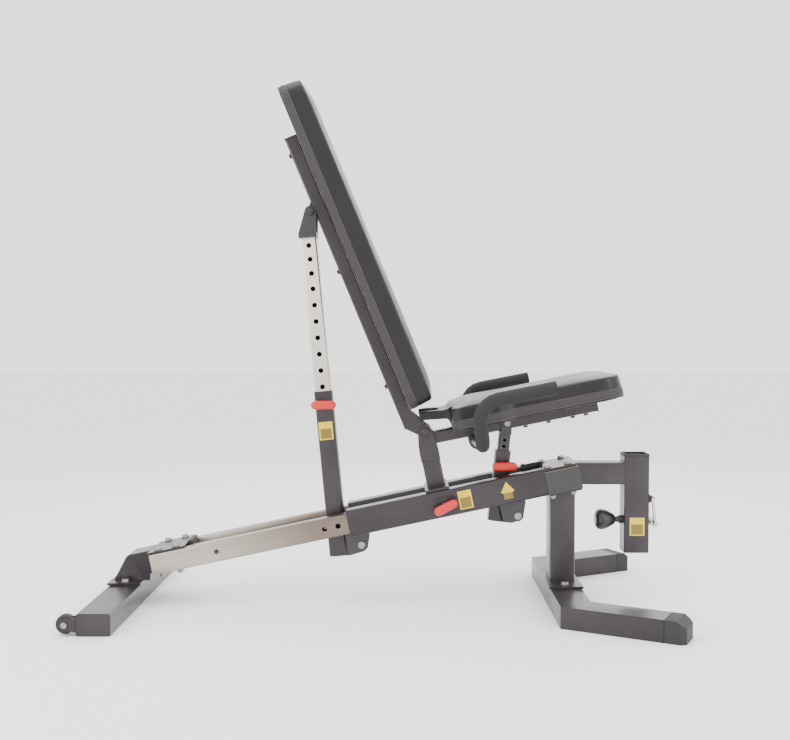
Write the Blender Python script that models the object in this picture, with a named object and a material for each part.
# Adjustable weight bench with a sliding seat and back, for Blender 4.5.
# Metres, +Z up.  +X points to the front foot, -Y is the near side, the floor is z = 0, and the
# origin is under the middle of the bench.
import math

import bmesh
import bpy
from mathutils import Matrix, Vector

# ---- fits -------------------------------------------------------------------------------------
gap = 0.0003            # between pieces that touch
bore_gap = 0.0005       # between a pin or a bolt and its hole
slide_gap = 0.0003      # between a telescoping tube and its sleeve, each side

# ---- beam: two rails side by side, seen in the beam's own frame (s along, y across, n up) -----
beam_slope = math.radians(12.0)
beam_height = 0.2404    # top of the rails above the floor, at the origin
rail_start = -0.5587
rail_end = 0.4905
rail_width = 0.034
rail_height = 0.050
rail_wall = 0.0025
rail_slot = 0.081       # clear width between the two rails
rail_round = 0.004
cover_length = 0.485
cover_wall = 0.0025
cover_rise = 0.0075     # how far a cover stands above its rail
cover_drop = 0.007      # how far it reaches below
access_reach = (0.0575, 0.0245)     # from the covers' rear end back to the two access holes
access_hole_radius = 0.0065
plate_thickness = 0.005

# ---- clamp bolts ------------------------------------------------------------------------------
bolt_radius = 0.004
bolt_head_radius = 0.0085
bolt_head_height = 0.0055
bolt_sides = 10
washer_radius = 0.0105
washer_height = 0.0015
nut_radius = 0.0075
nut_height = 0.0065
rear_bolts = (-0.538, -0.494)
front_bolt_reach = (0.0665, 0.0165)     # from the rails' front end back to the two rows
rear_plate_start = -0.563
rear_plate_end = -0.470
clamp_plate_half = 0.0735

# ---- rear foot --------------------------------------------------------------------------------
rear_x = -0.6075        # centre of the rear crossbar
foot_width = 0.076
foot_height = 0.050
foot_wall = 0.003
foot_round = 0.005
rear_half_span = 0.326
neck_side_gap = 0.003
neck_bottom_length = 0.088
neck_top_length = 0.056
neck_round = 0.015
base_plate_thickness = 0.006
rear_base_half = 0.073
wheel_radius = 0.0215
wheel_width = 0.022
wheel_reach = 0.063     # wheel axle from the centre of the crossbar
wheel_floor_gap = 0.003
wheel_side_gap = 0.0008
bracket_plate = 0.003
bracket_back = 0.002
bracket_round = 0.0125
axle_radius = 0.004

# ---- front foot and post ----------------------------------------------------------------------
post_set_back = 0.0014609  # centre of the front foot and post, behind the middle of the clamp
front_half_span = 0.260     # to the outer corner where a leg starts
leg_splay = math.radians(27.8)
leg_length = 0.2295
cap_length = 0.0467
cap_round = 0.009
cap_slope = 0.020       # how far the cap's top slopes off at its tip
cap_plug = 0.020
post_width = 0.061
post_depth = 0.076
post_wall = 0.003
front_base_half = 0.100
front_base_length = 0.0815
foot_bolt_reach = 0.078     # from the mid-plane to a front foot bolt
rear_bolt_reach = 0.056
foot_bolt_length = 0.030

# ---- front clamp, arm and receiver ------------------------------------------------------------
saddle_length = 0.078
saddle_wall = 0.0035
saddle_lip = 0.003      # the side walls stop this far below the rails' tops
post_plate_half = 0.073
arm_drop = 0.0528805    # underside of the front arm, below the front end of the beam's top line
arm_height = 0.054
arm_half_width = 0.0285
receiver_reach = 0.1818     # from the front post's centre to the receiver's
receiver_width = 0.061
receiver_depth = 0.060
receiver_wall = 0.003
receiver_bottom = 0.1225
receiver_top = 0.3585
rim_height = 0.0055
rim_wall = 0.0045
knob_height = 0.2005
knob_radius = 0.026
knob_length = 0.047
bush_length = 0.0165
bush_radius = 0.0105
pin_radius = 0.005
pin_entry = 0.010       # how far the pull pin stands into the receiver
handle_pivot_height = 0.255
handle_pivot_reach = 0.007
handle_drop = 0.0615
handle_half = 0.034
handle_rod = 0.0042
handle_grip = 0.009
handle_grip_half = 0.0275
handle_lug_inner = 0.0185
handle_lug_outer = 0.0265

# ---- sled -------------------------------------------------------------------------------------
sled_side_gap = 0.0015      # between the ladder's sleeve and the sled's two plates
sled_plate = 0.005
sled_bottom = -0.045
sled_top = -0.012
strut_foot_reach = 0.1576   # lower pivot bolt of the seat strut, behind the rails' front end
strut_foot_n = -0.0988
ladder_foot_reach = 0.3882  # lower pivot bolt of the ladder, behind the strut's
ladder_foot_n = -0.0896
pivot_reach = 0.1793        # main hinge of the seat and back, behind the strut's lower pivot
pivot_n = 0.1506
sled_front_reach = 0.0391   # the sled's ends and openings, from the pivot bolts nearest to them
sled_rear_reach = 0.0347
sled_window_reach = (0.0979, 0.0171)    # open stretch that the seat strut passes through
sled_block_reach = 0.0303
post_foot_length = 0.058
post_foot_half = 0.070
mid_post_width = 0.045
mid_post_depth = 0.063
mid_post_top = 0.108
mid_post_wall = 0.003
head_plate = 0.005
head_round = 0.0165
head_plate_bottom = 0.078
pivot_bolt_radius = 0.006
pivot_head_radius = 0.0095
pivot_head_height = 0.007

# ---- back -------------------------------------------------------------------------------------
back_angle = math.radians(67.5)     # from the floor, at rest
back_tube_half = 0.026
back_tube_rear = -0.0435    # the tube's rear face, behind the hinge axis
back_tube_depth = 0.0325
back_tube_start = 0.022
back_tube_end = 0.781
back_tube_wall = 0.0025
back_ear = 0.005
back_ear_round = 0.0155
back_pad_start = 0.063
back_pad_end = 0.887
back_pad_half = 0.150
back_pad_thickness = 0.0605
back_pad_round = 0.040
clevis_along = 0.599
clevis_behind = 0.0085      # upper ladder pivot, behind the tube's rear face
lug_round = 0.012
lug_half = 0.0255

# ---- ladder (back adjuster) -------------------------------------------------------------------
ladder_lean = math.radians(5.37)
ladder_offset = -0.0125     # tube centre from the upper pivot
ladder_width = 0.038
ladder_wall = 0.0025
ladder_top = -0.0500        # top of the head block below the pivot
ladder_head_height = 0.012
ladder_head_width = 0.044
ladder_end = -0.520
clevis_plate = 0.005
clevis_gap = 0.001
clevis_round = 0.014
hole_radius = 0.00625
first_hole = -0.0807
hole_pitches = (0.0335, 0.0345, 0.0375, 0.040, 0.040, 0.040, 0.040, 0.040, 0.040, 0.0433)
sleeve_wall = 0.0027
sleeve_top = -0.437
sleeve_bottom = -0.843
ladder_lock = -0.4695       # pull pin below the upper pivot
ladder_shoe_reach = 0.0245  # the sleeve's shoe, ahead of the upper pivot, clear of the foot bolt
ladder_shoe_height = 0.032
ladder_shoe_floor = 0.012

# ---- lock grips (red pull grips on spring pins) -----------------------------------------------
grip_length = 0.061
grip_height = 0.021
grip_depth = 0.017
barrel_radius = 0.010
barrel_length = 0.010
grip_stand = 0.003          # between barrel and grip
lock_reach = 0.0114          # sled lock, on the near cover, ahead of the main hinge
lock_n = -0.030
lock_tilt = math.radians(15.7)
lock_plate_length = 0.040
lock_plate_height = 0.034

# ---- seat -------------------------------------------------------------------------------------
seat_angle = math.radians(11.4)
seat_tube_half = 0.025
seat_tube_bottom = -0.035
seat_tube_height = 0.030
seat_tube_start = 0.020
seat_tube_end = 0.422
seat_tube_wall = 0.0025
seat_lug_round = 0.014
seat_pad_thickness = 0.0572
neck_start = -0.016
wing_start = 0.062
wing_end = 0.185
front_start = 0.215
seat_pad_end = 0.487
neck_half = 0.070
wing_half = 0.160
front_half = 0.138
neck_bottom = 0.0180
neck_top = 0.0470
neck_slot_half = 0.0345     # clears the back's tube between the two rear tongues
neck_slot_end = 0.032
bar_x = 0.120               # side handles: one bent bar under the seat tube
bar_z = -0.036
bar_middle_z = -0.0505
bar_lug = 0.006
bar_radius = 0.0125
bar_half_span = 0.262
bar_rise = 0.060
bar_front_x = 0.300
bar_front_z = 0.0590
bar_elbow = 0.030
bar_bend = 0.050
bar_sag_round = 0.300
grip_wall = 0.0035
grip_start = 0.236          # where a hand grip begins on the bar's cross stretch

# ---- seat strut -------------------------------------------------------------------------------
strut_lean = math.radians(-6.4)
strut_x = 0.2005            # upper pivot, in the seat's frame
strut_z = -0.0203
strut_width = 0.028
strut_wall = 0.0025
strut_head_top = -0.0235
strut_head_height = 0.003
strut_head_half = 0.0135
strut_clevis_round = 0.012
strut_end = -0.145
strut_hole_radius = 0.004
strut_first_hole = -0.043
strut_hole_pitch = 0.01525
strut_hole_count = 5
strut_sleeve_wall = 0.0042
strut_sleeve_top = -0.0685
strut_sleeve_bottom = -0.242
strut_lock = -0.104
strut_shoe_floor = 0.010
strut_eye = 0.0150
strut_eye_slack = 0.0027    # the eye is bigger than its bolt by this much all round

# ---- worked out from the sizes above ----------------------------------------------------------
saddle_start = rail_end - saddle_length
saddle_end = rail_end + gap + plate_thickness
front_bolts = tuple(rail_end - reach for reach in front_bolt_reach)
cover_end = saddle_start - 0.0005
cover_start = cover_end - cover_length
access_holes = tuple(cover_start - reach for reach in access_reach)
clamp_floor = -rail_height - plate_thickness
clamp_middle = (saddle_start + saddle_end) / 2
front_x = clamp_middle * math.cos(beam_slope) - clamp_floor * math.sin(beam_slope) - post_set_back
receiver_x = front_x + receiver_reach
arm_bottom = beam_height + rail_end * math.sin(beam_slope) - arm_drop
neck_half_width = rail_slot / 2 - neck_side_gap
strut_foot = (rail_end - strut_foot_reach, strut_foot_n)
ladder_foot = (strut_foot[0] - ladder_foot_reach, ladder_foot_n)
pivot_s = strut_foot[0] - pivot_reach
sled_front = strut_foot[0] + sled_front_reach
sled_rear = ladder_foot[0] - sled_rear_reach
sled_window = (strut_foot[0] - sled_window_reach[0], strut_foot[0] + sled_window_reach[1])
sled_block_rear = ladder_foot[0] + sled_block_reach
lock_s = pivot_s + lock_reach
rail_y = (rail_slot + rail_width) / 2
cover_inner_width = rail_width + 2 * gap
cover_width = cover_inner_width + 2 * cover_wall
cover_height = rail_height + cover_rise + cover_drop
under_rails = -rail_height - gap
saddle_floor = under_rails - plate_thickness
post_plate_top = saddle_floor - gap
post_plate_bottom = post_plate_top - plate_thickness
clamp_plate_top = gap + plate_thickness
foot_plate_bottom = cover_rise + gap
foot_plate_top = foot_plate_bottom + base_plate_thickness
wheel_z = wheel_radius + wheel_floor_gap
back_tube_front = back_tube_rear + back_tube_depth
clevis_x = back_tube_rear - clevis_behind
sleeve_width = ladder_width + 2 * (slide_gap + sleeve_wall)
sled_plate_inner = sleeve_width / 2 + sled_side_gap
sled_plate_outer = sled_plate_inner + sled_plate
strut_sleeve_width = strut_width + 2 * (slide_gap + strut_sleeve_wall)
receiver_left = receiver_x - receiver_width / 2
receiver_right = receiver_x + receiver_width / 2
finishes = {}


# ================================================================ building blocks
def clear_scene():
    for thing in list(bpy.data.objects):
        bpy.data.objects.remove(thing, do_unlink=True)


def finish(name, colour, roughness, metallic):
    material = bpy.data.materials.new(name)
    material.use_nodes = True
    shader = material.node_tree.nodes["Principled BSDF"]
    shader.inputs["Base Color"].default_value = (*colour, 1.0)
    shader.inputs["Roughness"].default_value = roughness
    shader.inputs["Metallic"].default_value = metallic
    material.diffuse_color = (*colour, 1.0)
    finishes[name] = material


def frame(name, place, turn_y=0.0, parent=None):
    """An empty that a group of pieces is built in."""
    empty = bpy.data.objects.new(name, None)
    bpy.context.collection.objects.link(empty)
    empty.parent = parent
    empty.location = place
    empty.rotation_euler = (0.0, turn_y, 0.0)
    return empty


def place(name, mesh_data, parent, finish_name, hidden=False):
    """Turns a bmesh into a named object in its frame."""
    bmesh.ops.recalc_face_normals(mesh_data, faces=mesh_data.faces)
    mesh = bpy.data.meshes.new(name)
    mesh_data.to_mesh(mesh)
    mesh_data.free()
    mesh.shade_smooth()
    mesh.set_sharp_from_angle(angle=math.radians(32))
    thing = bpy.data.objects.new(name, mesh)
    bpy.context.collection.objects.link(thing)
    thing.parent = parent
    mesh.materials.append(finishes[finish_name])
    if hidden:
        thing.hide_render = True
        thing.display_type = "WIRE"
    return thing


def turn_to(mesh_data, axis):
    """Lays a shape built along Z along another axis: its x and y become the other two."""
    if axis == "X":
        order = Matrix(((0, 0, 1), (1, 0, 0), (0, 1, 0))).to_4x4()
    elif axis == "Y":
        order = Matrix(((1, 0, 0), (0, 0, 1), (0, 1, 0))).to_4x4()
    else:
        order = Matrix.Identity(4)
    bmesh.ops.transform(mesh_data, matrix=order, verts=mesh_data.verts)
    return mesh_data


def rectangle(width, depth, radius, centre=(0.0, 0.0), steps=2):
    """A rounded rectangle, anticlockwise."""
    points = []
    for corner in range(4):
        sign_x = (1, -1, -1, 1)[corner]
        sign_y = (1, 1, -1, -1)[corner]
        middle_x = centre[0] + sign_x * (width / 2 - radius)
        middle_y = centre[1] + sign_y * (depth / 2 - radius)
        for step in range(steps + 1):
            angle = math.radians(90) * (corner + step / steps)
            points.append((middle_x + radius * math.cos(angle), middle_y + radius * math.sin(angle)))
    return points


def loop_edges(mesh_data, outline, height):
    corners = [mesh_data.verts.new((x, y, height)) for x, y in outline]
    return [mesh_data.edges.new((corners[i - 1], corners[i])) for i in range(len(corners))], corners


def prism(outline, low, high, axis="Z"):
    """A solid bar with the given outline."""
    mesh_data = bmesh.new()
    corners = loop_edges(mesh_data, outline, low)[1]
    face = mesh_data.faces.new(corners)
    grown = bmesh.ops.extrude_face_region(mesh_data, geom=[face])["geom"]
    moved = [part for part in grown if isinstance(part, bmesh.types.BMVert)]
    bmesh.ops.translate(mesh_data, vec=(0, 0, high - low), verts=moved)
    return turn_to(mesh_data, axis)


def tube(outer, inner, low, high, axis="Z"):
    """A bar with a bore from end to end; both outlines have as many points."""
    mesh_data = bmesh.new()
    edges = loop_edges(mesh_data, outer, low)[0] + loop_edges(mesh_data, inner, low)[0]
    ring = bmesh.ops.bridge_loops(mesh_data, edges=edges)["faces"]
    grown = bmesh.ops.extrude_face_region(mesh_data, geom=ring)["geom"]
    moved = [part for part in grown if isinstance(part, bmesh.types.BMVert)]
    bmesh.ops.translate(mesh_data, vec=(0, 0, high - low), verts=moved)
    return turn_to(mesh_data, axis)


def box_tube(width, depth, wall, radius, low, high, axis="Z", centre=(0.0, 0.0)):
    inner_radius = max(radius - wall, 0.001)
    outer = rectangle(width, depth, radius, centre)
    inner = rectangle(width - 2 * wall, depth - 2 * wall, inner_radius, centre)
    return tube(outer, inner, low, high, axis)


def block(low, high):
    """A plain block between two corners."""
    outline = [(low[0], low[1]), (high[0], low[1]), (high[0], high[1]), (low[0], high[1])]
    return prism(outline, low[2], high[2])


def turned(profile, steps, axis="Z", centre=(0.0, 0.0, 0.0)):
    """A round solid from (radius, height) points that start and end on the axis."""
    mesh_data = bmesh.new()
    corners = [mesh_data.verts.new((radius, 0.0, height)) for radius, height in profile]
    for first, second in zip(corners, corners[1:]):
        mesh_data.edges.new((first, second))
    geometry = mesh_data.verts[:] + mesh_data.edges[:]
    bmesh.ops.spin(mesh_data, geom=geometry, cent=(0, 0, 0), axis=(0, 0, 1), dvec=(0, 0, 0),
                   angle=math.tau, steps=steps, use_merge=True)
    bmesh.ops.remove_doubles(mesh_data, verts=mesh_data.verts, dist=0.00001)
    turn_to(mesh_data, axis)
    bmesh.ops.translate(mesh_data, vec=centre, verts=mesh_data.verts)
    return mesh_data


def rod(radius, low, high, steps=16, axis="Z", centre=(0.0, 0.0, 0.0)):
    return turned([(0, low), (radius, low), (radius, high), (0, high)], steps, axis, centre)


def bolt_profile(head_bottom, nut_top):
    """A bolt with its washer and nut: the washer sits at head_bottom, the nut below nut_top."""
    washer = head_bottom + washer_height
    head = washer + bolt_head_height
    nut_low = nut_top - nut_height
    tail = nut_low - 0.003
    return [(0, tail), (bolt_radius, tail), (bolt_radius, nut_low), (nut_radius, nut_low),
            (nut_radius, nut_top), (bolt_radius, nut_top), (bolt_radius, head_bottom),
            (washer_radius, head_bottom), (washer_radius, washer), (bolt_head_radius, washer),
            (bolt_head_radius - 0.0005, head), (0, head)]


def pin_profile(half_length, shank, head_radius, head_height):
    """A bolt across two plates, with a head at each end."""
    tip = half_length + head_height
    half = [(shank, half_length), (head_radius, half_length), (head_radius, tip - 0.001),
            (head_radius - 0.001, tip), (0, tip)]
    return [(radius, -height) for radius, height in reversed(half)] + half


def operate(thing, mesh_data, operation, parent=None):
    """Cuts a shape out of an object, or joins it on."""
    name = "{}_{}_{}".format(thing.name, operation.lower(), len(thing.modifiers))
    other = place(name, mesh_data, parent or thing.parent, thing.active_material.name, hidden=True)
    modifier = thing.modifiers.new(operation.title(), "BOOLEAN")
    modifier.operation = operation
    modifier.solver = "EXACT"
    modifier.object = other


def cut(thing, mesh_data, parent=None):
    operate(thing, mesh_data, "DIFFERENCE", parent)


def join(thing, mesh_data, parent=None):
    operate(thing, mesh_data, "UNION", parent)


def arc(centre, radius, start, end, steps):
    """Points on an arc, angles in degrees."""
    points = []
    for step in range(steps + 1):
        angle = math.radians(start + (end - start) * step / steps)
        points.append((centre[0] + radius * math.cos(angle), centre[1] + radius * math.sin(angle)))
    return points


def filleted_path(corners, radii, steps=5):
    """A route through 3-D corners, each inner one rounded to its radius."""
    route = [Vector(corners[0])]
    for index in range(1, len(corners) - 1):
        corner = Vector(corners[index])
        back_way = (Vector(corners[index - 1]) - corner).normalized()
        on_way = (Vector(corners[index + 1]) - corner).normalized()
        half = back_way.angle(on_way) / 2
        reach = radii[index - 1] / math.tan(half)
        centre = corner + (back_way + on_way).normalized() * (radii[index - 1] / math.sin(half))
        first = corner + back_way * reach - centre
        last = corner + on_way * reach - centre
        sweep = first.angle(last)
        for step in range(steps + 1):
            share = step / steps
            turned_arm = (first * math.sin((1 - share) * sweep) + last * math.sin(share * sweep))
            route.append(centre + turned_arm / math.sin(sweep))
    route.append(Vector(corners[-1]))
    return route


def swept(route, radius, sides=12):
    """A round bar along a route, with closed ends."""
    mesh_data = bmesh.new()
    rings = []
    side = Vector((0, 1, 0))
    for index, point in enumerate(route):
        before = route[max(index - 1, 0)]
        after = route[min(index + 1, len(route) - 1)]
        heading = (after - before).normalized()
        side = (side - heading * side.dot(heading))
        if side.length < 0.001:
            side = heading.orthogonal()
        side.normalize()
        other = heading.cross(side)
        ring = []
        for step in range(sides):
            angle = math.tau * step / sides
            ring.append(mesh_data.verts.new(point + radius * (side * math.cos(angle)
                                                              + other * math.sin(angle))))
        rings.append(ring)
    for first, second in zip(rings, rings[1:]):
        for step in range(sides):
            after = (step + 1) % sides
            mesh_data.faces.new((first[step], first[after], second[after], second[step]))
    mesh_data.faces.new(rings[0])
    mesh_data.faces.new(list(reversed(rings[-1])))
    return mesh_data


def trim_route(route, left_off, start_extra):
    """The route without its last stretch, and with its start lengthened."""
    length = sum((second - first).length for first, second in zip(route, route[1:])) - left_off
    kept = [route[0] + (route[0] - route[1]).normalized() * start_extra]
    walked = 0.0
    for first, second in zip(route, route[1:]):
        step = (second - first).length
        if walked + step >= length:
            kept.append(first.lerp(second, (length - walked) / step))
            return kept
        walked += step
        kept.append(second.copy())
    return kept


# ================================================================ rear foot
def beam_top_at(x):
    return beam_height + x * math.tan(beam_slope)


def from_beam(s, n):
    """World x and z of a point in the beam's frame."""
    x = s * math.cos(beam_slope) - n * math.sin(beam_slope)
    z = beam_height + s * math.sin(beam_slope) + n * math.cos(beam_slope)
    return x, z


def make_rear_foot(world, beam):
    outline = rectangle(foot_width, foot_height, foot_round, (rear_x, foot_height / 2))
    bar = place("rear_crossbar", prism(outline, -rear_half_span, rear_half_span, "Y"), world, "frame_paint")
    hollow = rectangle(foot_width - 2 * foot_wall, foot_height - 2 * foot_wall, foot_round - foot_wall,
                       (rear_x, foot_height / 2))
    cut(bar, prism(hollow, foot_wall - rear_half_span, rear_half_span - foot_wall, "Y"))
    for side in (-1, 1):
        spot = (rear_x, side * rear_bolt_reach, 0.0)
        cut(bar, rod(bolt_radius + bore_gap, foot_height / 2, foot_height * 1.5, centre=spot))

    base_low = foot_height + gap
    base_top = base_low + base_plate_thickness
    left = rear_x - neck_bottom_length * 0.37
    right = left + neck_bottom_length
    plate_face = rear_plate_start - gap
    crown_x, crown_z = from_beam(plate_face, clamp_plate_top)
    corner_x = crown_x - neck_top_length
    corner_z = crown_z - neck_top_length * math.tan(beam_slope)
    crown = filleted_path([(crown_x, 0.0, crown_z), (corner_x, 0.0, corner_z), (left, 0.0, base_top - 0.001)],
                          (neck_round,))
    profile = [(right, base_top - 0.001), from_beam(rear_plate_start - 0.010, -rail_height),
               from_beam(rear_plate_end, -rail_height), from_beam(rear_plate_end, -gap),
               from_beam(plate_face, -gap)]
    profile += [(point.x, point.z) for point in crown]
    neck = place("rear_neck", prism(profile, -neck_half_width, neck_half_width, "Y"), world, "frame_paint")
    half_plate = foot_width / 2 + 0.002
    join(neck, block((rear_x - half_plate, -rear_base_half, base_low),
                     (rear_x + half_plate, rear_base_half, base_top)))
    for side, word in ((-1, "near"), (1, "far")):
        spot = (rear_x, side * rear_bolt_reach, 0.0)
        cut(neck, rod(bolt_radius + bore_gap, foot_height / 2, foot_height * 1.5, centre=spot))
        profile = bolt_profile(base_top + gap, foot_height - foot_wall - gap)
        place("rear_foot_bolt_" + word, turned(profile, bolt_sides, centre=spot), world, "zinc")

    plate = block((rear_plate_start, -clamp_plate_half, gap), (rear_plate_end, clamp_plate_half, clamp_plate_top))
    plate = place("rear_top_plate", plate, beam, "frame_paint")
    number = 0
    for s in rear_bolts:
        for side in (-1, 1):
            number += 1
            spot = (s, side * rail_y, 0.0)
            cut(plate, rod(bolt_radius + bore_gap, -0.02, 0.02, centre=spot))
            profile = bolt_profile(clamp_plate_top + gap, under_rails)
            place("rear_clamp_bolt_{}".format(number), turned(profile, bolt_sides, centre=spot), beam, "zinc")
    buffer_start = rear_plate_end + gap
    place("rear_bumper", block((buffer_start, -0.034, -0.032), (buffer_start + 0.012, 0.034, 0.009)),
          beam, "rubber")
    return bar


def make_wheels(world):
    axle_x = rear_x - wheel_reach
    face_x = rear_x - foot_width / 2 - gap
    for side, word in ((-1, "near"), (1, "far")):
        outer = side * rear_half_span
        inner = outer - side * (2 * bracket_plate + 2 * wheel_side_gap + wheel_width)
        middle = (outer + inner) / 2
        half = abs(outer - inner) / 2
        reach = arc((axle_x, wheel_z), bracket_round, 90, 270, 8)
        outline = [(face_x, wheel_z + bracket_round + 0.004)] + reach
        outline += [(face_x, wheel_z - bracket_round - 0.004)]
        fork = place("wheel_bracket_" + word, prism(outline, middle - half, middle + half, "Y"), world,
                     "frame_paint")
        slot = half - bracket_plate
        cut(fork, block((axle_x - 0.05, middle - slot, 0.0), (face_x - bracket_back, middle + slot, 0.06)))
        cut(fork, rod(axle_radius + bore_gap, -0.03, 0.03, axis="Y", centre=(axle_x, middle, wheel_z)))
        hub = frame("wheel_axis_" + word, (axle_x, middle, wheel_z), parent=world)
        width = wheel_width / 2
        bore = axle_radius + bore_gap
        groove = wheel_radius - 0.0015
        profile = [(bore, -width), (wheel_radius - 0.006, -width), (groove, -width + 0.001),
                   (wheel_radius, -width + 0.005), (wheel_radius, width - 0.005), (groove, width - 0.001),
                   (wheel_radius - 0.006, width), (bore, width), (bore, -width)]
        place("wheel_" + word, turned(profile, 24, "Y"), hub, "rubber")
        profile = pin_profile(half + gap, axle_radius, 0.007, 0.004)
        place("wheel_axle_" + word, turned(profile, 12, "Y", (axle_x, middle, wheel_z)), world, "zinc")


# ================================================================ beam
def make_rails(beam):
    for side, word in ((-1, "near"), (1, "far")):
        y = side * rail_y
        rail = place("rail_" + word,
                     box_tube(rail_width, rail_height, rail_wall, rail_round, rail_start, rail_end, "X",
                              (y, -rail_height / 2)), beam, "brushed_steel")
        for s in access_holes:
            cut(rail, rod(access_hole_radius, y - 0.03, y + 0.03, 14, "Y", (s, 0.0, -rail_height / 2)))
        for s in rear_bolts + front_bolts:
            cut(rail, rod(bolt_radius + bore_gap, -0.08, 0.03, 12, centre=(s, y, 0.0)))
        cover = box_tube(cover_width, cover_height, cover_wall, rail_round, cover_start, cover_end, "X",
                         (y, (cover_rise - cover_drop - rail_height) / 2))
        cover = place("rail_cover_" + word, cover, beam, "frame_paint")
        if side < 0:
            for thing in (rail, cover):
                cut(thing, rod(pin_radius + bore_gap, y - 0.03, y + 0.03, 12, "Y", (lock_s, 0.0, lock_n)))


def capsule(length, height, depth, y_middle, middle, tilt):
    """A rounded bar that lies across the pull direction, seen end-round from the front."""
    radius = height / 2
    reach = length / 2 - radius
    outline = arc((reach, 0.0), radius, -90, 90, 7) + arc((-reach, 0.0), radius, 90, 270, 7)
    mesh_data = prism(outline, -depth / 2, depth / 2, "Y")
    rim = [edge for edge in mesh_data.edges
           if abs(abs(edge.verts[0].co.y) - depth / 2) < 1e-6
           and abs(edge.verts[0].co.y - edge.verts[1].co.y) < 1e-6]
    bmesh.ops.bevel(mesh_data, geom=rim, offset=depth * 0.3, segments=2, affect="EDGES", profile=0.5)
    spin = Matrix.Rotation(-tilt, 4, "Y")
    bmesh.ops.transform(mesh_data, matrix=spin, verts=mesh_data.verts)
    bmesh.ops.translate(mesh_data, vec=(middle[0], y_middle, middle[1]), verts=mesh_data.verts)
    return mesh_data


def make_pull_grip(name, parent, face_y, tip_y, middle, tilt, shift=0.0):
    """A grip on a spring pin: it pulls out towards -Y.  face_y is the barrel's outer end."""
    grip_y = face_y - grip_stand - grip_depth / 2
    grip = place(name, capsule(grip_length, grip_height, grip_depth, grip_y, (middle[0] + shift, middle[1]),
                               tilt), parent, "red_grip")
    join(grip, rod(pin_radius, grip_y, tip_y, 12, "Y", (middle[0], 0.0, middle[1])))
    return grip


def add_barrel(thing, wall_y, inner_y, middle):
    """The pin's guide on the near wall of a tube, bored with the wall."""
    join(thing, rod(barrel_radius, wall_y - barrel_length, wall_y + 0.0005, 16, "Y", (middle[0], 0.0, middle[1])))
    cut(thing, rod(pin_radius + bore_gap, wall_y - barrel_length - 0.002, inner_y, 12, "Y",
                   (middle[0], 0.0, middle[1])))


def make_sled_lock(beam):
    wall_y = -rail_y - cover_width / 2 - gap
    plate_y = wall_y - bracket_plate
    plate = block((lock_s - lock_plate_length / 2, plate_y, lock_n - lock_plate_height / 2 + 0.004),
                  (lock_s + lock_plate_length / 2, wall_y, lock_n + lock_plate_height / 2 + 0.004))
    base = place("sled_lock_base", plate, beam, "frame_paint")
    add_barrel(base, plate_y, wall_y + 0.002, (lock_s, lock_n))
    make_pull_grip("sled_lock_grip", beam, plate_y - barrel_length, -sled_plate_outer - bore_gap,
                   (lock_s, lock_n), lock_tilt)


# ================================================================ front clamp, post and foot
def make_front_clamp(beam):
    inner = rail_y + rail_width / 2 + gap
    outer = inner + saddle_wall
    lip = -saddle_lip
    outline = [(-outer, saddle_floor), (outer, saddle_floor), (outer, lip), (inner, lip),
               (inner, under_rails), (-inner, under_rails), (-inner, lip), (-outer, lip)]
    saddle = place("front_saddle", prism(outline, saddle_start, saddle_end, "X"), beam, "black_paint")
    join(saddle, block((rail_end + gap, -outer + 0.001, saddle_floor + 0.001),
                       (saddle_end - 0.0005, outer - 0.001, lip - 0.001)))
    plate = block((saddle_start, -clamp_plate_half, gap), (saddle_end, clamp_plate_half, clamp_plate_top))
    plate = place("front_top_plate", plate, beam, "frame_paint")
    join(plate, block((saddle_start + 0.0005, -0.012, gap + 0.001), (saddle_start + 0.006, 0.012, 0.0185)))
    number = 0
    for s in front_bolts:
        for side in (-1, 1):
            number += 1
            spot = (s, side * rail_y, 0.0)
            for thing in (saddle, plate):
                cut(thing, rod(bolt_radius + bore_gap, -0.08, 0.03, 12, centre=spot))
            profile = bolt_profile(clamp_plate_top + gap, post_plate_bottom - gap)
            place("front_clamp_bolt_{}".format(number), turned(profile, bolt_sides, centre=spot), beam, "zinc")
    tip = saddle_start - 0.046
    root = saddle_start - gap
    profile = [(0, tip), (0.007, tip), (0.009, tip + 0.002), (0.009, tip + 0.010), (0.0065, tip + 0.011),
               (0.0065, root), (0, root)]
    place("front_bumper", turned(profile, 16, "X", (0.0, 0.0, 0.0105)), beam, "rubber")


def make_front_post(world, beam):
    base_low = foot_height + gap
    base_top = base_low + base_plate_thickness
    shape = box_tube(post_width, post_depth, post_wall, foot_round, base_top - 0.0005, base_top + 0.1,
                     centre=(front_x, 0.0))
    for corner in shape.verts:
        if corner.co.z > base_top + 0.05:
            under = post_plate_top / math.cos(beam_slope)
            corner.co.z = beam_top_at(corner.co.x) + under - plate_thickness / 2
    post = place("front_post", shape, world, "frame_paint")
    join(post, block((front_x - front_base_length / 2, -front_base_half, base_low),
                     (front_x + front_base_length / 2, front_base_half, base_top)))
    join(post, block((saddle_start + 0.001, -post_plate_half, post_plate_bottom),
                     (saddle_end - 0.001, post_plate_half, post_plate_top)), beam)
    cut(post, rod(0.012, 0.02, base_top + 0.02, centre=(front_x, 0.0, 0.0)))
    for s in front_bolts:
        for side in (-1, 1):
            cut(post, rod(bolt_radius + bore_gap, -0.08, 0.03, 12, centre=(s, side * rail_y, 0.0)), beam)
    for side, word in ((-1, "near"), (1, "far")):
        spot = (front_x, side * foot_bolt_reach, 0.0)
        cut(post, rod(bolt_radius + bore_gap, foot_height / 2, foot_height * 1.5, centre=spot))
        profile = bolt_profile(base_top + gap, foot_height - foot_wall - gap)
        place("front_foot_bolt_" + word, turned(profile, bolt_sides, centre=spot), world, "zinc")


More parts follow.
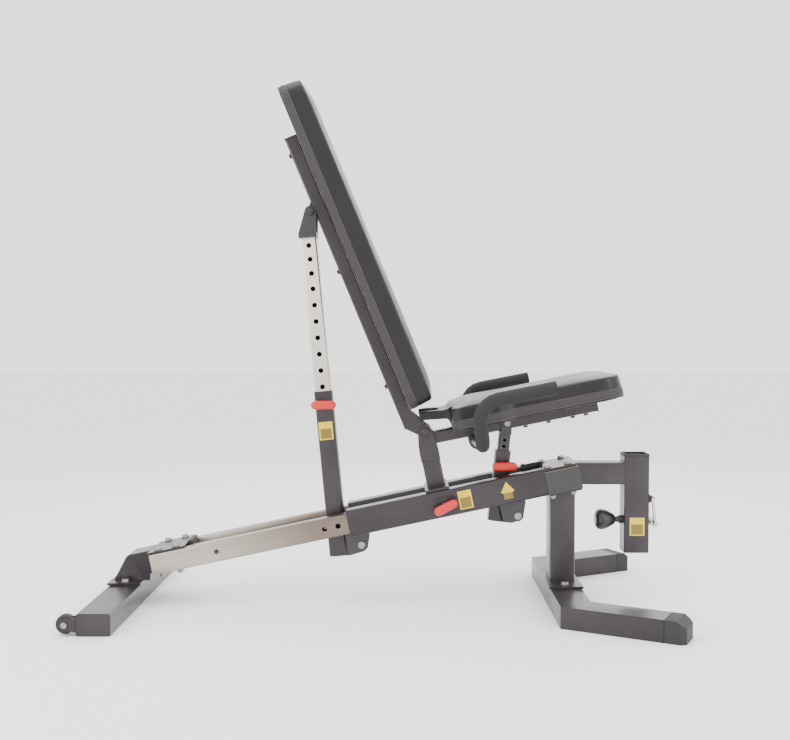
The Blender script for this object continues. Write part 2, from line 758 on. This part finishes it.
def foot_outline(inset, end_extra):
    """The front foot from above: a crossbar whose two legs splay forwards."""
    left = front_x - foot_width / 2 + inset
    right = front_x + foot_width / 2 - inset
    along = Vector((math.cos(leg_splay), -math.sin(leg_splay)))
    across = Vector((math.sin(leg_splay), math.cos(leg_splay)))
    corner = Vector((front_x - foot_width / 2, -front_half_span))
    outer_start = corner + across * inset
    outer_corner_y = outer_start.y + (left - outer_start.x) * (along.y / along.x)
    outer_end = corner + across * inset + along * (leg_length + end_extra)
    inner_end = corner + across * (foot_width - inset) + along * (leg_length + end_extra)
    inner_corner_y = inner_end.y + (right - inner_end.x) * (along.y / along.x)
    near = [(left, outer_corner_y), tuple(outer_end), tuple(inner_end), (right, inner_corner_y)]
    far = [(x, -y) for x, y in reversed(near)]
    return near + far


def make_front_foot(world):
    foot = place("front_foot", prism(foot_outline(0.0, 0.0), 0.0, foot_height), world, "frame_paint")
    cut(foot, prism(foot_outline(foot_wall, 0.05), foot_wall, foot_height - foot_wall))
    for side in (-1, 1):
        spot = (front_x, side * foot_bolt_reach, 0.0)
        cut(foot, rod(bolt_radius + bore_gap, foot_height / 2, foot_height * 1.5, centre=spot))
    for side, word in ((-1, "near"), (1, "far")):
        start = Vector((front_x - foot_width / 2, -front_half_span))
        along = Vector((math.cos(leg_splay), -math.sin(leg_splay)))
        across = Vector((math.sin(leg_splay), math.cos(leg_splay)))
        middle = start + along * (leg_length + gap) + across * foot_width / 2
        leg = frame("leg_end_" + word, (middle.x, side * -middle.y, 0.0), parent=world)
        leg.rotation_euler = (0.0, 0.0, side * leg_splay)
        half = foot_width / 2
        tip = cap_length
        outline = [(0.0, -half), (tip - cap_round, -half), (tip, -half + cap_round), (tip, half - cap_round),
                   (tip - cap_round, half), (0.0, half)]
        shape = prism(outline, 0.0, foot_height)
        bmesh.ops.bisect_plane(shape, geom=shape.verts[:] + shape.edges[:] + shape.faces[:],
                               plane_co=(tip - cap_slope, 0.0, foot_height), plane_no=(0.75, 0.0, 1.0),
                               clear_outer=True)
        bmesh.ops.holes_fill(shape, edges=shape.edges[:], sides=0)
        cap = place("front_cap_" + word, shape, leg, "rubber")
        plug = foot_wall + gap
        join(cap, block((-cap_plug, -half + plug, plug), (0.001, half - plug, foot_height - plug)))


def make_front_arm(world, beam):
    receiver = box_tube(receiver_width, receiver_depth, receiver_wall, foot_round, receiver_bottom,
                        receiver_top, centre=(receiver_x, 0.0))
    arm = place("front_arm", receiver, world, "frame_paint")
    middle = arm_bottom + arm_height / 2
    bar = box_tube(2 * arm_half_width, arm_height, post_wall, foot_round, 0.0, receiver_left + 0.001, "X",
                   (0.0, middle))
    for corner in bar.verts:
        if corner.co.x < receiver_left - 0.05:
            start_x, start_z = from_beam(saddle_end + gap, 0.0)
            corner.co.x = start_x + (start_z - corner.co.z) * math.tan(beam_slope)
    join(arm, bar)
    axis_x = receiver_right + handle_pivot_reach
    for side in (-1, 1):
        ear = arc((axis_x, handle_pivot_height), 0.0065, -90, 90, 6)
        ear += [(receiver_right - 0.0005, handle_pivot_height + 0.010),
                (receiver_right - 0.0005, handle_pivot_height - 0.010)]
        low, high = sorted((side * handle_lug_inner, side * handle_lug_outer))
        join(arm, prism(ear, low, high, "Y"))
    cut(arm, rod(handle_rod + bore_gap, -0.05, 0.05, 12, "Y", (axis_x, 0.0, handle_pivot_height)))
    cut(arm, rod(pin_radius + bore_gap, receiver_left - 0.01, receiver_left + 0.02, 12, "X",
                 (0.0, 0.0, knob_height)))
    rim = box_tube(receiver_width, receiver_depth, rim_wall, foot_round, receiver_top + gap,
                   receiver_top + gap + rim_height, centre=(receiver_x, 0.0))
    place("receiver_rim", rim, world, "rubber")

    pull = frame("pull_knob_axis", (receiver_left, 0.0, knob_height), parent=world)
    bush_end = -gap - bush_length
    inner = pin_radius + bore_gap
    profile = [(inner, bush_end), (bush_radius - 0.003, bush_end), (bush_radius - 0.003, bush_end + 0.008),
               (bush_radius, bush_end + 0.009), (bush_radius, -gap), (inner, -gap), (inner, bush_end)]
    place("pull_knob_bush", turned(profile, 12, "X", (receiver_left, 0.0, knob_height)), world, "black_paint")
    near_end = bush_end - 0.002
    far_end = near_end - knob_length
    profile = [(0, far_end), (0.016, far_end), (0.024, far_end + 0.006), (knob_radius, far_end + 0.014),
               (0.0225, far_end + 0.028), (0.014, near_end - 0.004), (0.011, near_end), (pin_radius, near_end),
               (pin_radius, receiver_wall + pin_entry), (0, receiver_wall + pin_entry)]
    place("pull_knob", turned(profile, 24, "X"), pull, "black_plastic")

    hang = frame("carry_handle_axis", (axis_x, 0.0, handle_pivot_height), parent=world)
    inner_end = handle_lug_inner + 0.001
    corners = [(0.0, -inner_end, 0.0), (0.0, -handle_half, 0.0), (0.006, -handle_half, -handle_drop),
               (0.006, handle_half, -handle_drop), (0.0, handle_half, 0.0), (0.0, inner_end, 0.0)]
    route = filleted_path(corners, (0.005, 0.007, 0.007, 0.005), 3)
    bail = place("carry_handle", swept(route, handle_rod, 10), hang, "chrome")
    join(bail, rod(handle_grip, -handle_grip_half, handle_grip_half, 16, "Y", (0.006, 0.0, -handle_drop)))


# ================================================================ sled
def plate_pair(outline, inner, outer):
    """Two plates, mirrored about the mid-plane."""
    return prism(outline, -outer, -inner, "Y"), prism(outline, inner, outer, "Y")


def make_sled(sled):
    a_s, a_n = ladder_foot
    b_s, b_n = strut_foot
    outline = [(sled_rear, sled_top), (sled_rear, a_n - 0.020), (a_s + 0.003, a_n - 0.017),
               (a_s + 0.014, a_n - 0.010), (a_s + 0.025, a_n + 0.022), (a_s + 0.028, sled_bottom),
               (b_s - 0.040, sled_bottom), (b_s - 0.037, b_n - 0.009), (b_s + 0.002, b_n - 0.014),
               (b_s + 0.012, b_n - 0.008), (b_s + 0.026, b_n + 0.030), (b_s + 0.028, sled_bottom),
               (sled_front, sled_bottom), (sled_front, sled_top)]
    near, far = plate_pair(outline, sled_plate_inner, sled_plate_outer)
    bar = place("sled_frame", near, sled, "black_paint")
    join(bar, block((sled_block_rear, -sled_plate_inner - 0.002, sled_bottom + 0.0005),
                    (sled_window[0], sled_plate_inner + 0.002, sled_top - 0.0005)))
    join(bar, far)
    join(bar, block((sled_window[1], -sled_plate_inner - 0.002, sled_bottom + 0.0005),
                    (sled_front - 0.0005, sled_plate_inner + 0.002, sled_top - 0.0005)))
    join(bar, block((pivot_s - 0.025, -sled_plate_inner, sled_top - 0.002),
                    (pivot_s + 0.025, sled_plate_inner, cover_rise)))
    for s, n, name in ((a_s, a_n, "ladder_foot_bolt"), (b_s, b_n, "strut_foot_bolt")):
        cut(bar, rod(pivot_bolt_radius + bore_gap, -0.04, 0.04, 16, "Y", (s, 0.0, n)))
        profile = pin_profile(sled_plate_outer + gap, pivot_bolt_radius, pivot_head_radius, 0.004)
        place(name, turned(profile, 16, "Y", (s, 0.0, n)), sled, "zinc")

    half = post_foot_length / 2
    foot = block((pivot_s - half, -post_foot_half, foot_plate_bottom),
                 (pivot_s + half, post_foot_half, foot_plate_top))
    post = place("mid_post", foot, sled, "frame_paint")
    join(post, box_tube(mid_post_width, mid_post_depth, mid_post_wall, 0.004, foot_plate_top - 0.001,
                        mid_post_top, centre=(pivot_s, 0.0)))
    inner = mid_post_depth / 2 - 0.0003
    outer = inner + head_plate
    side = mid_post_width / 2 + 0.001
    outline = [(pivot_s - side, head_plate_bottom), (pivot_s + side, head_plate_bottom),
               (pivot_s + side, mid_post_top)]
    outline += arc((pivot_s, pivot_n), head_round, 0, 180, 10) + [(pivot_s - side, mid_post_top)]
    for plate in plate_pair(outline, inner, outer):
        join(post, plate)
    cut(post, rod(pivot_bolt_radius + bore_gap, -0.06, 0.06, 16, "Y", (pivot_s, 0.0, pivot_n)))
    profile = pin_profile(outer + gap, pivot_bolt_radius, pivot_head_radius, pivot_head_height)
    place("main_pivot_bolt", turned(profile, 20, "Y", (pivot_s, 0.0, pivot_n)), sled, "zinc")


# ================================================================ back
def make_back(back):
    middle = back_tube_rear + back_tube_depth / 2
    shape = box_tube(back_tube_depth, 2 * back_tube_half, back_tube_wall, 0.004, back_tube_start,
                     back_tube_end, centre=(middle, 0.0))
    tube_object = place("back_frame", shape, back, "frame_paint")
    lip = back_tube_wall / 2
    join(tube_object, block((back_tube_rear + lip, -back_tube_half + lip, back_tube_end - 0.004),
                            (back_tube_front - lip, back_tube_half - lip, back_tube_end - 0.0005)))
    ear_inner = back_tube_half - 0.0004
    ear_outer = ear_inner + back_ear
    outline = arc((0.0, 0.0), back_ear_round, 205, 372, 12)
    outline += [(back_tube_front - 0.0005, back_pad_start - 0.006),
                (back_tube_front - 0.0005, back_pad_start + 0.027), (back_tube_rear + 0.001, back_pad_start + 0.027),
                (back_tube_rear + 0.001, back_tube_start + 0.003)]
    for plate in plate_pair(outline, ear_inner, ear_outer):
        join(tube_object, plate)
    cut(tube_object, rod(pivot_bolt_radius + bore_gap, -0.05, 0.05, 16, "Y"))
    lug = arc((clevis_x, clevis_along), lug_round, 90, 270, 8)
    lug += [(back_tube_rear + 0.001, clevis_along - 0.022), (back_tube_rear + 0.001, clevis_along + 0.022)]
    join(tube_object, prism(lug, -lug_half, lug_half, "Y"))
    cut(tube_object, rod(pivot_bolt_radius + bore_gap, -0.05, 0.05, 16, "Y", (clevis_x, 0.0, clevis_along)))

    pad_middle = (back_pad_start + back_pad_end) / 2
    outline = rectangle(2 * back_pad_half, back_pad_end - back_pad_start, back_pad_round, (0.0, pad_middle), 5)
    face = back_tube_front + gap
    place("back_pad", prism(outline, face, face + back_pad_thickness, "X"), back, "black_vinyl")


# ================================================================ ladder
def make_ladder(ladder, sleeve):
    inner = back_tube_half + clevis_gap
    outer = inner + clevis_plate
    head_low = ladder_top - ladder_head_height
    half = ladder_head_width / 2
    left = ladder_offset - half + 0.0005
    right = ladder_offset + half - 0.0005
    outline = [(left, head_low + 0.002), (right, head_low + 0.002), (right, ladder_top)]
    outline += arc((0.0, 0.0), clevis_round, 0, 150, 8) + [(left, ladder_top)]
    rim = outer + 0.0005
    head = block((ladder_offset - half, -rim, head_low), (ladder_offset + half, rim, ladder_top))
    tube_object = place("ladder_tube", head, ladder, "brushed_steel")
    for plate in plate_pair(outline, inner, outer):
        join(tube_object, plate)
    join(tube_object, box_tube(ladder_width, ladder_width, ladder_wall, 0.003, ladder_end, head_low + 0.001,
                               centre=(ladder_offset, 0.0)))
    cut(tube_object, rod(pivot_bolt_radius + bore_gap, -0.05, 0.05, 16, "Y"))
    for number in range(len(hole_pitches) + 1):
        height = first_hole - sum(hole_pitches[:number])
        cut(tube_object, rod(hole_radius, -0.03, 0.03, 12, "Y", (ladder_offset, 0.0, height)))
    profile = pin_profile(outer + gap, pivot_bolt_radius, pivot_head_radius, pivot_head_height)
    place("ladder_head_bolt", turned(profile, 16, "Y"), ladder, "zinc")

    wall_y = -sleeve_width / 2
    shape = box_tube(sleeve_width, sleeve_width, sleeve_wall, 0.004, sleeve_bottom, sleeve_top,
                     centre=(ladder_offset, 0.0))
    sleeve_object = place("ladder_sleeve", shape, sleeve, "frame_paint")
    shoe_half = sleeve_width / 2 - 0.0004
    low = sleeve_bottom - 0.001
    left = ladder_offset - shoe_half
    side = ladder_offset + shoe_half
    outline = [(left, low + ladder_shoe_floor), (left, low + 0.007), (left + 0.010, low),
               (ladder_shoe_reach - 0.008, low), (ladder_shoe_reach, low + 0.008),
               (ladder_shoe_reach, low + ladder_shoe_height), (side - 0.001, low + ladder_shoe_height),
               (side - 0.001, low + ladder_shoe_floor)]
    join(sleeve_object, prism(outline, -shoe_half, shoe_half, "Y"))
    add_barrel(sleeve_object, wall_y, wall_y + sleeve_wall + 0.002, (ladder_offset, ladder_lock))
    make_pull_grip("ladder_lock_grip", sleeve, wall_y - barrel_length, -ladder_width / 2 - bore_gap,
                   (ladder_offset, ladder_lock), -ladder_lean)


# ================================================================ seat
def seat_outline():
    """The wide part of the seat pad from above, behind to front."""
    side = [(wing_start, -wing_half + 0.020), (wing_start + 0.020, -wing_half), (wing_end, -wing_half),
            (front_start, -front_half)]
    nose = arc((seat_pad_end - 0.060, -front_half + 0.060), 0.060, -90, 0, 5)
    near = side + nose
    return near + [(x, -y) for x, y in reversed(near)]


def make_seat(seat):
    middle = seat_tube_bottom + seat_tube_height / 2
    top = seat_tube_bottom + seat_tube_height
    shape = box_tube(2 * seat_tube_half, seat_tube_height, seat_tube_wall, 0.004, seat_tube_start,
                     seat_tube_end, "X", (0.0, middle))
    seat_object = place("seat_frame", shape, seat, "frame_paint")
    outline = arc((0.0, 0.0), seat_lug_round, 30, 240, 12)
    outline += [(seat_tube_start + 0.003, seat_tube_bottom + 0.001), (seat_tube_start + 0.003, top - 0.001)]
    join(seat_object, prism(outline, -seat_tube_half + 0.0004, seat_tube_half - 0.0004, "Y"))
    cut(seat_object, rod(pivot_bolt_radius + bore_gap, -0.05, 0.05, 16, "Y"))
    cut(seat_object, rod(axle_radius + bore_gap, -0.05, 0.05, 12, "Y", (strut_x, 0.0, strut_z)))
    lug_inner = seat_tube_half - bar_lug
    wide = bar_radius + 0.006
    outline = arc((bar_x, bar_middle_z), wide, 180, 360, 10)
    outline += [(bar_x + wide, seat_tube_bottom + 0.001), (bar_x - wide, seat_tube_bottom + 0.001)]
    for plate in plate_pair(outline, lug_inner, seat_tube_half - 0.0004):
        join(seat_object, plate)
    cut(seat_object, rod(bar_radius + 2 * bore_gap, -0.05, 0.05, 20, "Y", (bar_x, 0.0, bar_middle_z + 0.0008)))
    lip = seat_tube_wall / 2
    join(seat_object, block((seat_tube_end - 0.004, -seat_tube_half + lip, seat_tube_bottom + lip),
                            (seat_tube_end - 0.0005, seat_tube_half - lip, top - lip)))

    face = top + gap
    pad = place("seat_pad", prism(seat_outline(), face, face + seat_pad_thickness), seat, "black_vinyl")
    join(pad, block((neck_start, -neck_half, neck_bottom), (wing_start + 0.005, neck_half, neck_top)))
    cut(pad, block((neck_start - 0.01, -neck_slot_half, neck_bottom - 0.01),
                   (neck_slot_end, neck_slot_half, neck_top + 0.01)))

    sides = []
    for side in (-1, 1):
        span = side * bar_half_span
        sides.append([(bar_front_x, span, bar_front_z), (bar_x + 0.006, span, bar_rise), (bar_x, span, bar_z),
                      (bar_x, 0.0, bar_middle_z)])
    near, far = sides
    radii = (bar_bend, bar_elbow)
    route = filleted_path(near + list(reversed(far[:-1])), radii + (bar_sag_round,) + radii[::-1])
    place("handle_bar", swept(route, bar_radius), seat, "black_paint")
    for corners, word in ((near, "near"), (far, "far")):
        half_route = filleted_path(corners, radii)
        covered = trim_route(half_route, grip_start, 0.004)
        grip = place("handle_grip_" + word, swept(covered, bar_radius + grip_wall), seat, "grip_foam")
        cut(grip, swept(trim_route(half_route, grip_start - 0.010, gap), bar_radius + gap))


def make_strut(strut, sleeve, strut_eye_place):
    inner = seat_tube_half + clevis_gap
    outer = inner + 0.004
    head_low = strut_head_top - strut_head_height
    rim = outer + 0.0005
    head = block((-strut_head_half, -rim, head_low), (strut_head_half, rim, strut_head_top))
    strut_object = place("strut_tube", head, strut, "black_paint")
    side = strut_head_half - 0.0005
    outline = [(-side, head_low + 0.001), (side, head_low + 0.001)]
    outline += arc((0.0, 0.0), strut_clevis_round, 0, 180, 8)
    for plate in plate_pair(outline, inner, outer):
        join(strut_object, plate)
    join(strut_object, box_tube(strut_width, strut_width, strut_wall, 0.003, strut_end, head_low + 0.001))
    cut(strut_object, rod(axle_radius + bore_gap, -0.05, 0.05, 12, "Y"))
    for number in range(strut_hole_count):
        height = strut_first_hole - number * strut_hole_pitch
        cut(strut_object, rod(strut_hole_radius, -0.03, 0.03, 12, "Y", (0.0, 0.0, height)))
    profile = pin_profile(outer + gap, axle_radius, 0.008, 0.0045)
    place("strut_head_bolt", turned(profile, 12, "Y"), strut, "zinc")

    shape = box_tube(strut_sleeve_width, strut_sleeve_width, strut_sleeve_wall, 0.004, strut_sleeve_bottom,
                     strut_sleeve_top)
    sleeve_object = place("strut_sleeve", shape, sleeve, "frame_paint")
    shoe_half = strut_sleeve_width / 2 - 0.0004
    low = strut_sleeve_bottom - 0.001
    eye_x, eye_z = strut_eye_place
    outline = [(-shoe_half, low + strut_shoe_floor), (-shoe_half, low + 0.006), (-shoe_half + 0.008, low)]
    outline += [(eye_x - 0.012, low)] + arc((eye_x, eye_z), strut_eye, -80, 90, 10)
    outline += [(shoe_half - 0.001, eye_z + strut_eye), (shoe_half - 0.001, low + strut_shoe_floor)]
    join(sleeve_object, prism(outline, -shoe_half, shoe_half, "Y"))
    cut(sleeve_object, rod(pivot_bolt_radius + strut_eye_slack, -0.05, 0.05, 16, "Y", (eye_x, 0.0, eye_z)))
    wall_y = -strut_sleeve_width / 2
    add_barrel(sleeve_object, wall_y, wall_y + strut_sleeve_wall + 0.002, (0.0, strut_lock))
    make_pull_grip("strut_lock_grip", sleeve, wall_y - barrel_length, -strut_width / 2 - bore_gap,
                   (0.0, strut_lock), -strut_lean, 0.005)


# ================================================================ the whole bench
def make_finishes():
    finish("frame_paint", (0.075, 0.065, 0.068), 0.42, 0.35)
    finish("black_paint", (0.018, 0.016, 0.017), 0.40, 0.20)
    finish("brushed_steel", (0.62, 0.58, 0.54), 0.34, 1.0)
    finish("zinc", (0.20, 0.19, 0.19), 0.38, 1.0)
    finish("chrome", (0.80, 0.80, 0.80), 0.10, 1.0)
    finish("rubber", (0.015, 0.014, 0.014), 0.65, 0.0)
    finish("black_plastic", (0.020, 0.019, 0.020), 0.40, 0.0)
    finish("black_vinyl", (0.022, 0.020, 0.022), 0.42, 0.0)
    finish("grip_foam", (0.022, 0.020, 0.021), 0.60, 0.0)
    finish("red_grip", (0.72, 0.055, 0.045), 0.38, 0.0)


def main():
    clear_scene()
    make_finishes()
    world = frame("bench", (0.0, 0.0, 0.0))
    beam = frame("beam_frame", (0.0, 0.0, beam_height), -beam_slope, world)
    sled = frame("sled_axis", (0.0, 0.0, beam_height), -beam_slope, world)
    pivot_x, pivot_z = from_beam(pivot_s, pivot_n)
    back = frame("back_hinge", (pivot_x, 0.0, pivot_z), back_angle - math.pi / 2, world)
    seat = frame("seat_hinge", (pivot_x, 0.0, pivot_z), -seat_angle, world)
    tilt = back_angle - math.pi / 2
    head_x = pivot_x + clevis_x * math.cos(tilt) + clevis_along * math.sin(tilt)
    head_z = pivot_z - clevis_x * math.sin(tilt) + clevis_along * math.cos(tilt)
    ladder = frame("ladder_hinge", (head_x, 0.0, head_z), -ladder_lean, world)
    ladder_slide = frame("ladder_slide", (head_x, 0.0, head_z), -ladder_lean, world)
    top_x = pivot_x + strut_x * math.cos(seat_angle) - strut_z * math.sin(seat_angle)
    top_z = pivot_z + strut_x * math.sin(seat_angle) + strut_z * math.cos(seat_angle)
    strut = frame("strut_hinge", (top_x, 0.0, top_z), -strut_lean, world)
    strut_slide = frame("strut_slide", (top_x, 0.0, top_z), -strut_lean, world)

    make_rear_foot(world, beam)
    make_wheels(world)
    make_rails(beam)
    make_sled_lock(beam)
    make_front_clamp(beam)
    make_front_post(world, beam)
    make_front_foot(world)
    make_front_arm(world, beam)
    make_sled(sled)
    make_back(back)
    make_ladder(ladder, ladder_slide)
    make_seat(seat)
    foot_x, foot_z = from_beam(*strut_foot)
    ahead = foot_x - top_x
    above = foot_z - top_z
    eye_x = ahead * math.cos(strut_lean) + above * math.sin(strut_lean)
    eye_z = above * math.cos(strut_lean) - ahead * math.sin(strut_lean)
    make_strut(strut, strut_slide, (eye_x, eye_z))


main()
